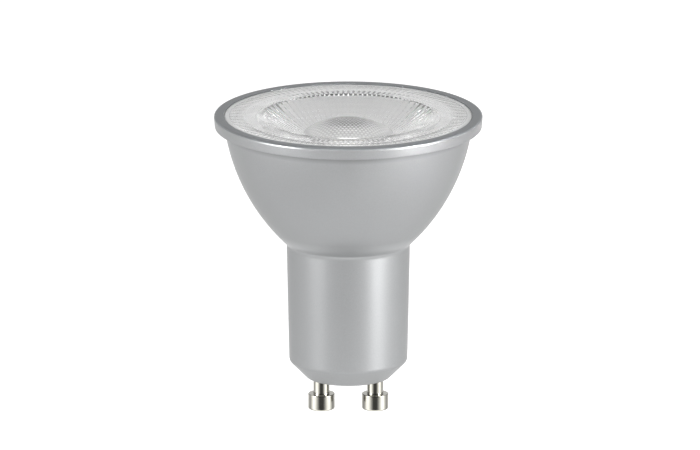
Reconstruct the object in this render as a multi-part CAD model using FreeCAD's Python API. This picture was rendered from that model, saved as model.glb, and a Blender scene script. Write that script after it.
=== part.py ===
# Two-pin twist-lock spotlight bulb with a moulded bowl, a clear collimating lens and its driver inside
# Millimetres, +Z up towards the lens, origin between the pins at the level of their tips

import os
import math
import FreeCAD
import Part
from FreeCAD import Vector

# Contact pins
pin_spacing = 10.0
pin_head_diameter = 5.0
pin_head_height = 2.95
pin_neck_diameter = 3.05
pin_neck_height = 3.45
pin_edge_bevel = 0.25
pin_collar_diameter = 4.2
pin_collar_height = 1.2
pin_collar_depth = 1.1
pin_tail_diameter = 2.4
pin_tail_height = 2.4
pin_cup_depth = 1.9
pin_hole_clearance = 0.03

# How far cutting shapes run past the face that they cut
overrun = 1.0

# Housing outline, heights above the base face
body_height = 50.14
rim_diameter = 50.0
rim_draft = 0.33
rim_height = 2.15
rim_edge_radius = 0.4
rim_ring_width = 1.95
rim_step = 1.98
bowl_arc_radius = 37.7
neck_top_height = 25.6
neck_top_diameter = 22.95
neck_bottom_diameter = 22.0
neck_blend_radius = 1.2
base_chamfer_height = 3.2
base_face_margin = 1.325
base_blend_radius = 1.1
base_edge_radius = 0.35

# Housing inside
wall = 1.2
floor_thickness = 2.0
boss_wall = 1.25
boss_height = 3.4
rail_depth = 1.3
rail_thickness = 1.0
rail_height = 15.5
rail_wire_gap = 0.3
cup_rib_count = 6
cup_rib_thickness = 1.2
cup_rib_height = 5.0
cup_rib_screw_gap = 0.8

# Lens
lens_recess = 0.17
lens_fit = 0.05
lens_flange_thickness = 1.1
lens_ring_width = 6.8
well_depth = 3.2
dome_base_diameter = 16.4
dome_height = 2.5
cone_wall = 0.75
cone_bulge = 0.9
cone_foot_gap = 0.5
cone_foot_wall = 1.2
cone_screw_gap = 0.2
flange_groove_count = 120
flange_groove_depth = 0.35
flange_groove_width = 0.8
flange_groove_margin = 0.25
flange_seat_margin = 0.25
cavity_draft = 0.3
cavity_depth = 4.6
cavity_crown = 0.9

# Heat sink cup, board stack and emitter
cup_floor_thickness = 1.5
cup_wall = 1.0
cup_fit = 0.1
cup_lip_gap = 2.37
cup_corner_cut = 0.6
cup_wire_gap = 0.45
cup_neck_rise = 7.9
pad_inset = 1.6
pad_thickness = 0.3
led_board_margin = 2.4
led_board_thickness = 1.6
led_notch_diameter = 3.0
led_notch_angle = 45
dam_gap = 0.5
dam_wall = 0.6
dam_height = 0.5
phosphor_height = 0.35
screw_inset = 3.0
screw_diameter = 2.0
screw_head_diameter = 3.5
screw_head_height = 1.0
screw_head_cut = 0.35
screw_lens_gap = 1.65
screw_overhang = 0.5
screw_hole_clearance = 0.15
screw_recess_width = 0.45
screw_recess_length = 1.9
screw_recess_depth = 0.5

# Driver board
board_thickness = 1.0
board_boss_gap = 0.225
board_top_drop = 1.85
board_fit = 0.1
leg_diameter = 0.6
leg_clearance = 0.1
leg_overhang = 0.8
leg_bend_radius = 0.5

# Driver parts, stacked up the board's front with a gap between them
driver_gap = 0.7
fuse_diameter = 2.6
fuse_length = 6.5
fuse_leg_span = 9.4
fuse_standoff = 0.4
fuse_end_bevel = 0.4
varistor_diameter = 7.0
varistor_thickness = 2.8
varistor_leg_span = 5.0
varistor_standoff = 0.5
varistor_edge_bevel = 0.55
film_length = 10.0
film_thickness = 3.8
film_depth = 8.0
film_leg_span = 7.5
film_edge_cut = 0.3
can_length = 8.8
can_gap = 0.5
can_wall_clearance = 1.41
can_standoff = 0.1
can_leg_span = 2.5
can_leg_drop = 0.65
can_groove_height = 1.4
can_groove_depth = 0.35
drum_flange_thickness = 1.2
drum_hub_diameter = 4.0
winding_inset = 0.3

# Chips on the board's back: the bridge above its lower edge, the others above the cans' legs
bridge_width = 4.7
bridge_length = 3.9
bridge_thickness = 2.5
bridge_draft = 0.25
bridge_height = 4.5
chip_width = 3.9
chip_length = 4.9
chip_thickness = 1.5
chip_draft = 0.2
chip_height = 4.25
chip_side_gap = 0.5
chip_leg_count = 4
chip_leg_pitch = 1.27
chip_leg_reach = 1.05
chip_leg_shoulder = 0.42
chip_leg_width = 0.42
chip_leg_thickness = 0.22
chip_leg_root = 0.2
diode_width = 2.6
diode_length = 4.3
diode_thickness = 2.1
diode_draft = 0.15
diode_gap = 0.7
small_chip_length = 3.2
small_chip_width = 1.6
small_chip_thickness = 0.6
small_chip_cap = 0.5
small_chip_cap_rise = 0.05
resistor_count = 5
capacitor_gap = 1.2

# Wires
wire_diameter = 1.0
wire_bend_radius = 1.1
wire_rest = 0.02
lead_wire_rise = 2.3
feed_wire_drop = 2.0
feed_wire_gap = 0.3
feed_wire_standoff = 1.6
feed_hole_inset = 3.4
feed_hole_clearance = 0.8
feed_wire_reach = 2.6

# Radii that follow from the sizes above
rim_radius = rim_diameter / 2
rim_lean = math.atan(rim_draft / rim_height)
rim_round = rim_edge_radius * (math.tan(rim_lean) + 1 / math.cos(rim_lean) - 1)
rim_corner_radius = rim_radius + rim_round
opening_radius = rim_radius - rim_ring_width
bowl_top_radius = rim_radius - rim_step
neck_radius = neck_top_diameter / 2
neck_low_radius = neck_bottom_diameter / 2
neck_inner_radius = min(neck_radius, neck_low_radius) - wall
face_radius = pin_spacing / 2 + pin_neck_diameter / 2 + base_face_margin
boss_radius = pin_neck_diameter / 2 + boss_wall
leg_radius = leg_diameter / 2
wire_radius = wire_diameter / 2
fuse_radius = fuse_diameter / 2

# Driver board planes, and the two round parts that fit side by side in the neck
board_face = boss_radius + board_boss_gap
board_back = board_face + board_thickness
board_half_width = math.sqrt((neck_inner_radius - board_fit) ** 2 - board_back ** 2)
rail_inner = max(board_half_width - rail_depth, pin_spacing / 2 + wire_radius + rail_wire_gap)
can_reach = neck_inner_radius - can_wall_clearance
can_side = board_face - can_standoff
can_half_gap = can_gap / 2
can_sum = can_half_gap - can_side + can_reach
can_radius = math.sqrt(can_sum ** 2 + can_reach ** 2 - can_half_gap ** 2 - can_side ** 2) - can_sum
can_axis_x = can_radius + can_half_gap
can_axis_y = can_side - can_radius

# Levels, from the pin tips up through the driver and the lens to the rim
z_base = pin_head_height + pin_neck_height
z_neck = z_base + neck_top_height
z_chamfer = z_base + base_chamfer_height
z_floor = z_base + floor_thickness
z_boss = z_floor + boss_height
z_tail = z_boss + pin_tail_height
z_lead = z_tail + lead_wire_rise
z_fuse = z_lead + wire_radius + driver_gap + leg_radius
z_varistor = z_fuse + fuse_radius + driver_gap + varistor_thickness / 2
z_film = z_varistor + varistor_thickness / 2 + driver_gap + film_thickness / 2
z_can_leg = z_film + film_thickness / 2 + driver_gap + leg_radius
z_can = z_can_leg + can_leg_drop
z_can_top = z_can + can_length
z_board_top = z_can_top - board_top_drop
z_feed = z_can_top + driver_gap + wire_radius
z_cup = max(z_feed + wire_radius + cup_wire_gap, z_neck + cup_neck_rise)
z_cup_floor = z_cup + cup_floor_thickness
z_led_board = z_cup_floor + pad_thickness
z_emitter = z_led_board + led_board_thickness
z_lens_foot = z_emitter + cone_foot_gap
z_cavity = z_lens_foot + cavity_depth
z_top = z_base + body_height
z_rim = z_top - rim_height
z_lens_face = z_top - lens_recess
z_well = z_lens_face - well_depth
z_ledge = z_lens_face - lens_flange_thickness
z_flare = z_emitter + screw_head_height + cone_screw_gap

# Chips on the board's back: bridge, resistors, diode and driver chip in one column
z_bridge = z_floor + bridge_height
z_chip = z_can_leg + chip_height
z_diode = z_chip - chip_length / 2 - diode_gap - chip_leg_thickness - diode_length / 2
z_column = z_bridge + bridge_length / 2
z_column_end = z_diode - diode_length / 2 - chip_leg_thickness
resistor_pitch = (z_column_end - z_column) / resistor_count
chip_side = chip_width / 2 + chip_leg_reach + chip_side_gap
capacitor_offset = chip_side + small_chip_length / 2
capacitor_step = (small_chip_width + capacitor_gap) / 2
feed_offset = chip_side + small_chip_length + feed_wire_gap + wire_radius


def bowl_centre():
    """Centre of the bowl's outline arc, from its two ends and its radius"""
    rise = z_rim - z_neck
    run = bowl_top_radius - neck_radius
    chord = math.hypot(run, rise)
    reach = math.sqrt(bowl_arc_radius ** 2 - (chord / 2) ** 2)
    centre_r = (neck_radius + bowl_top_radius) / 2 - rise / chord * reach
    centre_z = (z_neck + z_rim) / 2 + run / chord * reach
    return centre_r, centre_z


def bowl_radius(z, inset):
    """Radius at height z of the bowl's surface moved inwards by inset"""
    centre_r, centre_z = bowl_centre()
    return centre_r + math.sqrt((bowl_arc_radius - inset) ** 2 - (z - centre_z) ** 2)


def bowl_height(radius, inset):
    """Height at which the bowl's surface, moved inwards by inset, has this radius"""
    centre_r, centre_z = bowl_centre()
    return centre_z - math.sqrt((bowl_arc_radius - inset) ** 2 - (radius - centre_r) ** 2)


# Lens and board stack radii that follow from the bowl's inside
well_radius = opening_radius - lens_ring_width
cone_top_radius = well_radius + cone_wall
led_board_radius = bowl_radius(z_cup_floor, wall + cup_fit + cup_wall) - led_board_margin
screw_offset = led_board_radius - screw_inset
feed_hole_offset = led_board_radius - feed_hole_inset
cone_foot_radius = screw_offset - screw_head_diameter / 2 - screw_lens_gap
cavity_radius = cone_foot_radius - cone_foot_wall
dam_radius = cavity_radius - dam_gap
cup_rib_inner = screw_offset + screw_diameter / 2 + cup_rib_screw_gap


def rz(radius, z):
    return Vector(radius, 0, z)


def line(a, b):
    return Part.LineSegment(a, b).toShape()


def arc(a, through, b):
    return Part.Arc(a, through, b).toShape()


def bowl_arc(z_from, z_to, inset):
    """Edge of the bowl's outline between two heights"""
    z_mid = (z_from + z_to) / 2
    start = rz(bowl_radius(z_from, inset), z_from)
    end = rz(bowl_radius(z_to, inset), z_to)
    return arc(start, rz(bowl_radius(z_mid, inset), z_mid), end)


def chain(points):
    """Straight edges from point to point"""
    return [line(a, b) for a, b in zip(points[:-1], points[1:])]


def turn(edges):
    """Solid of revolution about Z of a closed outline in the XZ plane"""
    face = Part.Face(Part.Wire(edges))
    return face.revolve(Vector(0, 0, 0), Vector(0, 0, 1), 360)


def box(x0, x1, y0, y1, z0, z1):
    return Part.makeBox(x1 - x0, y1 - y0, z1 - z0, Vector(x0, y0, z0))


def rod(radius, start, end):
    """Round bar between two points"""
    way = end - start
    return Part.makeCylinder(radius, way.Length, start, way)


def circles_at(shape, radius, z):
    """Circular edges about Z with this radius at this height"""
    found = []
    for edge in shape.Edges:
        curve = edge.Curve
        if not isinstance(curve, Part.Circle):
            continue
        if abs(curve.Radius - radius) < 1e-4 and abs(curve.Center.z - z) < 1e-4:
            if math.hypot(curve.Center.x, curve.Center.y) < 1e-4:
                found.append(edge)
    return found


def both_sides(shape):
    """A shape and its copy turned half a turn about Z"""
    other = shape.copy()
    other.rotate(Vector(0, 0, 0), Vector(0, 0, 1), 180)
    return [shape, other]


def bent_bar(points, radius, bend):
    """Round bar along straight runs joined by tangent arcs"""
    edges = []
    here = points[0]
    for before, corner, after in zip(points[:-2], points[1:-1], points[2:]):
        back = (before - corner).normalize()
        ahead = (after - corner).normalize()
        half = math.acos(max(-1.0, min(1.0, back.dot(ahead)))) / 2
        trim = bend / math.tan(half)
        leave = corner + back * trim
        join = corner + ahead * trim
        middle = (back + ahead).normalize()
        centre = corner + middle * (bend / math.sin(half))
        edges.append(line(here, leave))
        edges.append(arc(leave, centre - middle * bend, join))
        here = join
    edges.append(line(here, points[-1]))
    path = Part.Wire(edges)
    way = points[1] - points[0]
    section = Part.Wire(Part.makeCircle(radius, points[0], way))
    return path.makePipeShell([section], True, False)


# Moulded housing
def housing_shell():
    """Turned shell: base, chamfer, neck, bowl and rim with their true wall"""
    ledge_radius = bowl_radius(z_ledge, wall)
    z_throat = bowl_height(neck_radius - wall, wall)
    outside = chain([
        rz(0, z_floor),
        rz(0, z_base),
        rz(face_radius, z_base),
        rz(neck_low_radius, z_chamfer),
        rz(neck_radius, z_neck),
    ])
    rim = chain([
        rz(bowl_top_radius, z_rim),
        rz(rim_corner_radius - rim_draft, z_rim),
        rz(rim_corner_radius, z_top),
        rz(opening_radius, z_top),
        rz(opening_radius, z_ledge),
        rz(ledge_radius, z_ledge),
    ])
    inside = chain([
        rz(neck_radius - wall, z_throat),
        rz(neck_low_radius - wall, z_chamfer),
        rz(face_radius, z_floor),
        rz(0, z_floor),
    ])
    outer_bowl = bowl_arc(z_neck, z_rim, 0)
    inner_bowl = bowl_arc(z_ledge, z_throat, wall)
    shell = turn(outside + [outer_bowl] + rim + [inner_bowl] + inside)
    shell = shell.makeFillet(neck_blend_radius, circles_at(shell, neck_radius, z_neck))
    shell = shell.makeFillet(base_blend_radius, circles_at(shell, neck_low_radius, z_chamfer))
    shell = shell.makeFillet(base_edge_radius, circles_at(shell, face_radius, z_base))
    return shell.makeFillet(rim_edge_radius, circles_at(shell, rim_corner_radius, z_top))


def housing_inner_space():
    """Space inside the shell, grown half a wall so that ribs root in the wall"""
    root = wall / 2
    z_throat = bowl_height(neck_radius - root, root)
    edges = chain([
        rz(bowl_radius(z_ledge, root), z_ledge),
        rz(0, z_ledge),
        rz(0, z_floor - root),
        rz(neck_low_radius - wall - root, z_floor - root),
        rz(neck_low_radius - root, z_chamfer),
        rz(neck_radius - root, z_throat),
    ])
    return turn(edges + [bowl_arc(z_throat, z_ledge, root)])


def board_rails():
    """Two pairs of ribs that the driver board slides between"""
    z_high = z_floor + rail_height
    near = board_face - board_fit
    far = board_back + board_fit
    rails = []
    for side in (-1, 1):
        x0, x1 = sorted((side * rail_inner, side * neck_radius))
        rails.append(box(x0, x1, near - rail_thickness, near, z_floor - wall / 2, z_high))
        rails.append(box(x0, x1, far, far + rail_thickness, z_floor - wall / 2, z_high))
    return rails


def cup_ribs():
    """Radial ribs in the bowl that carry the heat sink cup"""
    half = cup_rib_thickness / 2
    rib = box(cup_rib_inner, rim_radius, -half, half, z_cup - cup_rib_height, z_cup)
    ribs = []
    for i in range(cup_rib_count):
        copy = rib.copy()
        copy.rotate(Vector(0, 0, 0), Vector(0, 0, 1), (i + 0.5) * 360 / cup_rib_count)
        ribs.append(copy)
    return ribs


def pin_outline(grow):
    """Pin outline from its neck upwards, enlarged by grow for the moulded seat"""
    neck = pin_neck_diameter / 2 + grow
    collar = pin_collar_diameter / 2 + grow
    z_collar = z_base + pin_collar_depth
    return [
        rz(neck, z_collar - grow),
        rz(collar, z_collar - grow),
        rz(collar, z_collar + pin_collar_height + grow),
        rz(neck, z_collar + pin_collar_height + grow),
    ]


def pin_seat(x):
    """Hole in the base with the groove that the pin's collar is moulded into"""
    neck = pin_neck_diameter / 2 + pin_hole_clearance
    low = rz(neck, z_base - wall)
    high = rz(neck, z_boss + wall)
    points = [low] + pin_outline(pin_hole_clearance) + [high, rz(0, high.z), rz(0, low.z), low]
    seat = turn(chain(points))
    seat.translate(Vector(x, 0, 0))
    return seat


def make_housing():
    inner = housing_inner_space()
    ribs = [part.common(inner) for part in board_rails() + cup_ribs()]
    bosses = []
    seats = []
    for x in (-pin_spacing / 2, pin_spacing / 2):
        boss = Part.makeCylinder(boss_radius, z_boss - z_base - wall, Vector(x, 0, z_base + wall))
        bosses.append(boss)
        seats.append(pin_seat(x))
    body = housing_shell().fuse(ribs + bosses)
    return body.cut(seats).removeSplitter()


# Contact pins
def make_pin(x):
    """Turned pin: head, neck, moulded-in collar and hollow tail for the lead"""
    head = pin_head_diameter / 2
    neck = pin_neck_diameter / 2
    tail = pin_tail_diameter / 2
    cup = wire_radius + pin_hole_clearance
    points = [
        rz(0, 0),
        rz(head - pin_edge_bevel, 0),
        rz(head, pin_edge_bevel),
        rz(head, pin_head_height - pin_edge_bevel / 2),
        rz(head - pin_edge_bevel / 2, pin_head_height),
        rz(neck, pin_head_height),
    ]
    points += pin_outline(0)
    points += [
        rz(neck, z_boss),
        rz(tail, z_boss),
        rz(tail, z_tail),
        rz(cup, z_tail),
        rz(cup, z_tail - pin_cup_depth),
        rz(0, z_tail - pin_cup_depth),
        rz(0, 0),
    ]
    pin = turn(chain(points))
    pin.translate(Vector(x, 0, 0))
    return pin


# Lens
def lens_cone():
    """Solid cone under the flange with a bulged side and a straight foot beside the screw heads"""
    low = rz(cone_foot_radius, z_flare)
    high = rz(cone_top_radius, z_ledge)
    side = high - low
    outward = Vector(side.z, 0, -side.x).normalize()
    middle = (low + high) * 0.5 + outward * cone_bulge
    edges = chain([high, rz(0, z_ledge), rz(0, z_lens_foot), rz(cone_foot_radius, z_lens_foot), low])
    return turn(edges + [arc(low, middle, high)])


def flange_grooves():
    """Radial V grooves under the flange, from the cone to the seat on the housing"""
    start = cone_top_radius + flange_groove_margin
    reach = bowl_radius(z_ledge, wall) - flange_seat_margin - start
    half = flange_groove_width / 2
    corners = [
        Vector(start, -half, z_ledge),
        Vector(start, half, z_ledge),
        Vector(start, 0, z_ledge + flange_groove_depth),
    ]
    groove = Part.Face(Part.makePolygon(corners + [corners[0]])).extrude(Vector(reach, 0, 0))
    grooves = []
    for i in range(flange_groove_count):
        copy = groove.copy()
        copy.rotate(Vector(0, 0, 0), Vector(0, 0, 1), i * 360 / flange_groove_count)
        grooves.append(copy)
    return grooves


def lens_well():
    """Funnel in the lens face with the domed centre standing in it"""
    base = dome_base_diameter / 2
    z_over = z_lens_face + lens_flange_thickness
    z_crown = z_well + dome_height
    dome_radius = (base ** 2 + dome_height ** 2) / (2 * dome_height)
    z_centre = z_crown - dome_radius
    mid_radius = base / 2
    z_mid = z_centre + math.sqrt(dome_radius ** 2 - mid_radius ** 2)
    edges = chain([rz(0, z_over), rz(well_radius, z_over), rz(well_radius, z_lens_face), rz(base, z_well)])
    edges.append(arc(rz(base, z_well), rz(mid_radius, z_mid), rz(0, z_crown)))
    edges.append(line(rz(0, z_crown), rz(0, z_over)))
    return turn(edges)


def lens_cavity():
    """Hollow over the emitter with a crowned roof"""
    low = cavity_radius
    high = low - cavity_draft
    z_roof = z_cavity - cavity_crown
    crown_radius = (high ** 2 + cavity_crown ** 2) / (2 * cavity_crown)
    mid_radius = high / 2
    z_mid = z_roof + crown_radius - math.sqrt(crown_radius ** 2 - mid_radius ** 2)
    edges = chain([rz(0, z_lens_foot - overrun), rz(low, z_lens_foot - overrun), rz(low, z_lens_foot)])
    edges.append(line(rz(low, z_lens_foot), rz(high, z_cavity)))
    edges.append(arc(rz(high, z_cavity), rz(mid_radius, z_mid), rz(0, z_roof)))
    edges.append(line(rz(0, z_roof), rz(0, z_lens_foot - overrun)))
    return turn(edges)


def make_lens():
    flange = Part.makeCylinder(opening_radius - lens_fit, lens_flange_thickness, Vector(0, 0, z_ledge))
    blank = flange.cut(flange_grooves()).fuse(lens_cone())
    return blank.cut([lens_well(), lens_cavity()])


# Heat sink cup, board stack and emitter
def stack_holes(z0, z1):
    """Screw and wire holes that run through the cup's floor, the pad and the LED board"""
    holes = []
    screw_hole = screw_diameter / 2 + screw_hole_clearance
    for y in (-screw_offset, screw_offset):
        holes.append(rod(screw_hole, Vector(0, y, z0), Vector(0, y, z1)))
    wire_hole = (wire_diameter + feed_hole_clearance) / 2
    for x in (-feed_hole_offset, feed_hole_offset):
        holes.append(rod(wire_hole, Vector(x, 0, z0), Vector(x, 0, z1)))
    return holes


def make_heat_sink_cup():
    """Pressed cup that lines the bowl"""
    outer = wall + cup_fit
    inner = outer + cup_wall
    z_lip = z_ledge - cup_lip_gap
    edges = chain([
        rz(bowl_radius(z_lip, outer), z_lip),
        rz(bowl_radius(z_lip, inner), z_lip),
    ])
    edges.append(bowl_arc(z_lip, z_cup_floor, inner))
    edges += chain([
        rz(bowl_radius(z_cup_floor, inner), z_cup_floor),
        rz(0, z_cup_floor),
        rz(0, z_cup),
        rz(bowl_radius(z_cup, outer), z_cup),
    ])
    edges.append(bowl_arc(z_cup, z_lip, outer))
    cup = turn(edges)
    corner = circles_at(cup, bowl_radius(z_cup, outer), z_cup)
    cup = cup.makeChamfer(cup_corner_cut, corner)
    return cup.cut(stack_holes(z_cup - overrun, z_cup_floor + overrun))


def make_thermal_pad():
    pad = Part.makeCylinder(led_board_radius - pad_inset, pad_thickness, Vector(0, 0, z_cup_floor))
    return pad.cut(stack_holes(z_cup_floor - overrun, z_led_board + overrun))


def make_led_board():
    """Round metal-core board with two locating notches"""
    board = Part.makeCylinder(led_board_radius, led_board_thickness, Vector(0, 0, z_led_board))
    holes = stack_holes(z_led_board - overrun, z_emitter + overrun)
    for angle in (led_notch_angle, led_notch_angle + 180):
        x = led_board_radius * math.cos(math.radians(angle))
        y = led_board_radius * math.sin(math.radians(angle))
        start = Vector(x, y, z_led_board - overrun)
        end = Vector(x, y, z_emitter + overrun)
        holes.append(rod(led_notch_diameter / 2, start, end))
    return board.cut(holes)


def make_emitter_dam():
    ring = Part.makeCylinder(dam_radius, dam_height, Vector(0, 0, z_emitter))
    return ring.cut(Part.makeCylinder(dam_radius - dam_wall, dam_height, Vector(0, 0, z_emitter)))


def make_emitter_phosphor():
    return Part.makeCylinder(dam_radius - dam_wall, phosphor_height, Vector(0, 0, z_emitter))


def make_board_screws():
    """Two pan-head screws with cross recesses"""
    y = screw_offset
    length = z_emitter - z_cup + screw_overhang
    head = Part.makeCylinder(screw_head_diameter / 2, screw_head_height, Vector(0, y, z_emitter))
    rim = [e for e in head.Edges if isinstance(e.Curve, Part.Circle) and e.Curve.Center.z > z_emitter]
    head = head.makeChamfer(screw_head_cut, rim)
    shank = rod(screw_diameter / 2, Vector(0, y, z_emitter - length), Vector(0, y, z_emitter))
    z0 = z_emitter + screw_head_height - screw_recess_depth
    z1 = z_emitter + screw_head_height + overrun
    long_half = screw_recess_length / 2
    short_half = screw_recess_width / 2
    slot_a = box(-long_half, long_half, y - short_half, y + short_half, z0, z1)
    slot_b = box(-short_half, short_half, y - long_half, y + long_half, z0, z1)
    screw = head.fuse(shank).cut([slot_a, slot_b])
    return Part.makeCompound(both_sides(screw))


# Driver board and its legs
def leg_places():
    """Where wire legs pass through the driver board, across it and up it"""
    places = []
    for side in (-1, 1):
        places.append((side * fuse_leg_span / 2, z_fuse))
        places.append((side * varistor_leg_span / 2, z_varistor))
        places.append((side * film_leg_span / 2, z_film))
        places.append((side * can_axis_x - can_leg_span / 2, z_can_leg))
        places.append((side * can_axis_x + can_leg_span / 2, z_can_leg))
    return places


def board_corner(side):
    """Wedge cut from the board's lower corner, where the housing narrows to its floor"""
    x_in = side * math.sqrt((face_radius - board_fit) ** 2 - board_back ** 2)
    x_out = side * (board_half_width + overrun)
    rise = (z_chamfer - z_floor) * (x_out - x_in) / (side * board_half_width - x_in)
    corners = [
        Vector(x_in, board_face - overrun, z_floor),
        Vector(x_out, board_face - overrun, z_floor),
        Vector(x_out, board_face - overrun, z_floor + rise),
    ]
    face = Part.Face(Part.makePolygon(corners + [corners[0]]))
    return face.extrude(Vector(0, board_thickness + 2 * overrun, 0))


def make_driver_board():
    board = box(-board_half_width, board_half_width, board_face, board_back, z_floor, z_board_top)
    holes = [board_corner(-1), board_corner(1)]
    for x, z in leg_places():
        start = Vector(x, board_face - overrun, z)
        end = Vector(x, board_back + overrun, z)
        holes.append(rod(leg_radius + leg_clearance, start, end))
    return board.cut(holes)


def straight_legs(span, z, y_from):
    """Two straight legs from inside a body through the board"""
    legs = []
    for side in (-1, 1):
        x = side * span / 2
        legs.append(rod(leg_radius, Vector(x, y_from, z), Vector(x, board_back + leg_overhang, z)))
    return legs


def make_fuse_resistor():
    """Axial body lying across the board on two bent legs"""
    z = z_fuse
    y = board_face - fuse_standoff - fuse_radius
    body = rod(fuse_radius, Vector(-fuse_length / 2, y, z), Vector(fuse_length / 2, y, z))
    ends = [e for e in body.Edges if isinstance(e.Curve, Part.Circle)]
    body = body.makeChamfer(fuse_end_bevel, ends)
    legs = []
    for side in (-1, 1):
        out = side * fuse_leg_span / 2
        start = Vector(side * fuse_length / 4, y, z)
        end = Vector(out, board_back + leg_overhang, z)
        legs.append(bent_bar([start, Vector(out, y, z), end], leg_radius, leg_bend_radius))
    return body.fuse(legs)


def make_surge_varistor():
    """Disc standing off the board on two legs"""
    half = varistor_thickness / 2
    radius = varistor_diameter / 2
    y = board_face - varistor_standoff - radius
    disc = Part.makeCylinder(radius, varistor_thickness, Vector(0, y, z_varistor - half))
    rims = [e for e in disc.Edges if isinstance(e.Curve, Part.Circle)]
    disc = disc.makeChamfer(varistor_edge_bevel, rims)
    return disc.fuse(straight_legs(varistor_leg_span, z_varistor, y))


def make_film_capacitor():
    """Boxed capacitor seated on the board"""
    a = film_length / 2
    b = film_thickness / 2
    y = board_face - film_depth
    body = box(-a, a, y, board_face, z_film - b, z_film + b)
    far_edges = [e for e in body.Edges if e.BoundBox.YMax < y + 1e-3]
    body = body.makeChamfer(film_edge_cut, far_edges)
    return body.fuse(straight_legs(film_leg_span, z_film, board_face - film_depth / 2))


def can_legs(centre_x):
    """Legs that leave the foot of an upright can and turn into the board"""
    legs = []
    for side in (-1, 1):
        x = centre_x + side * can_leg_span / 2
        start = Vector(x, can_axis_y, z_can + can_leg_drop)
        corner = Vector(x, can_axis_y, z_can_leg)
        end = Vector(x, board_back + leg_overhang, z_can_leg)
        legs.append(bent_bar([start, corner, end], leg_radius, leg_bend_radius))
    return legs


def make_bulk_capacitor():
    """Crimped can beside the board"""
    z0 = z_can
    z1 = z_can_top
    groove = z0 + can_groove_height
    waist = can_radius - can_groove_depth
    edges = chain([
        rz(0, z1),
        rz(0, z0),
        rz(can_radius, z0),
        rz(can_radius, groove - can_groove_depth),
        rz(waist, groove),
        rz(can_radius, groove + can_groove_depth),
        rz(can_radius, z1),
        rz(0, z1),
    ])
    can = turn(edges)
    can = can.makeChamfer(can_groove_depth, circles_at(can, can_radius, z1))
    can.translate(Vector(-can_axis_x, can_axis_y, 0))
    return can.fuse(can_legs(-can_axis_x))


def make_inductor_core():
    """Ferrite drum: two flanges on a hub"""
    z0 = z_can
    z1 = z_can_top
    hub = drum_hub_diameter / 2
    edges = chain([
        rz(0, z0),
        rz(can_radius, z0),
        rz(can_radius, z0 + drum_flange_thickness),
        rz(hub, z0 + drum_flange_thickness),
        rz(hub, z1 - drum_flange_thickness),
        rz(can_radius, z1 - drum_flange_thickness),
        rz(can_radius, z1),
        rz(0, z1),
        rz(0, z0),
    ])
    drum = turn(edges)
    drum.translate(Vector(can_axis_x, can_axis_y, 0))
    return drum.fuse(can_legs(can_axis_x))


def make_inductor_winding():
    """Copper winding between the drum's flanges"""
    z0 = z_can + drum_flange_thickness
    z1 = z_can_top - drum_flange_thickness
    hub = drum_hub_diameter / 2
    outer = can_radius - winding_inset
    coil = turn(chain([rz(hub, z0), rz(outer, z0), rz(outer, z1), rz(hub, z1), rz(hub, z0)]))
    coil.translate(Vector(can_axis_x, can_axis_y, 0))
    return coil


def flat_body(x, z, width, length, thickness, draft):
    """Moulded chip body on the board's back, narrower towards its top"""
    wires = []
    for y, cut in ((board_back, 0.0), (board_back + thickness, draft)):
        a = width / 2 - cut
        b = length / 2 - cut
        corners = [
            Vector(x - a, y, z - b),
            Vector(x + a, y, z - b),
            Vector(x + a, y, z + b),
            Vector(x - a, y, z + b),
        ]
        wires.append(Part.makePolygon(corners + [corners[0]]))
    return Part.makeLoft(wires, True, True)


def gull_leg(x_body, z, side):
    """One gull-wing leg from a chip body down to the board"""
    half = chip_leg_width / 2
    inner = x_body - side * chip_leg_root
    knee = x_body + side * chip_leg_shoulder
    toe = x_body + side * chip_leg_reach
    y_mid = board_back + chip_thickness / 2
    t = chip_leg_thickness
    upper = box(*sorted((inner, knee)), y_mid - t / 2, y_mid + t / 2, z - half, z + half)
    riser = box(*sorted((knee - side * t, knee)), board_back, y_mid + t / 2, z - half, z + half)
    foot = box(*sorted((knee - side * t, toe)), board_back, board_back + t, z - half, z + half)
    return [upper, riser, foot]


def make_driver_chip():
    body = flat_body(0, z_chip, chip_width, chip_length, chip_thickness, chip_draft)
    legs = []
    for side in (-1, 1):
        for i in range(chip_leg_count):
            z = z_chip + (i - (chip_leg_count - 1) / 2) * chip_leg_pitch
            legs += gull_leg(side * chip_width / 2, z, side)
    return body.fuse(legs).removeSplitter()


def make_bridge_rectifier():
    body = flat_body(0, z_bridge, bridge_width, bridge_length, bridge_thickness, bridge_draft)
    legs = []
    for side in (-1, 1):
        for i in (-1, 1):
            z = z_bridge + i * bridge_length / 4
            legs += gull_leg(side * bridge_width / 2, z, side)
    return body.fuse(legs).removeSplitter()


def make_output_diode():
    """Moulded diode with a folded tab at each end"""
    body = flat_body(0, z_diode, diode_width, diode_length, diode_thickness, diode_draft)
    half = diode_width / 4
    tab = chip_leg_thickness
    tabs = []
    for side in (-1, 1):
        z_end = z_diode + side * diode_length / 2
        z0, z1 = sorted((z_end - side * 2 * tab, z_end + side * tab))
        y1 = board_back + diode_thickness / 2
        tabs.append(box(-half, half, board_back, y1, z0, z1))
    return body.fuse(tabs).removeSplitter()


def small_chips(places):
    """Small chip parts with a raised end cap at each end"""
    solids = []
    for x, z in places:
        a = small_chip_length / 2
        b = small_chip_width / 2
        rise = small_chip_cap_rise
        y1 = board_back + small_chip_thickness
        middle = box(x - a, x + a, board_back, y1 - rise, z - b + rise, z + b - rise)
        left = box(x - a, x - a + small_chip_cap, board_back, y1, z - b, z + b)
        right = box(x + a - small_chip_cap, x + a, board_back, y1, z - b, z + b)
        solids.append(middle.fuse([left, right]).removeSplitter())
    return Part.makeCompound(solids)


def make_chip_resistors():
    return small_chips([(0, z_column + resistor_pitch * (i + 0.5)) for i in range(resistor_count)])


def make_chip_capacitors():
    return small_chips([(capacitor_offset, z_chip + side * capacitor_step) for side in (-1, 1)])


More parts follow.
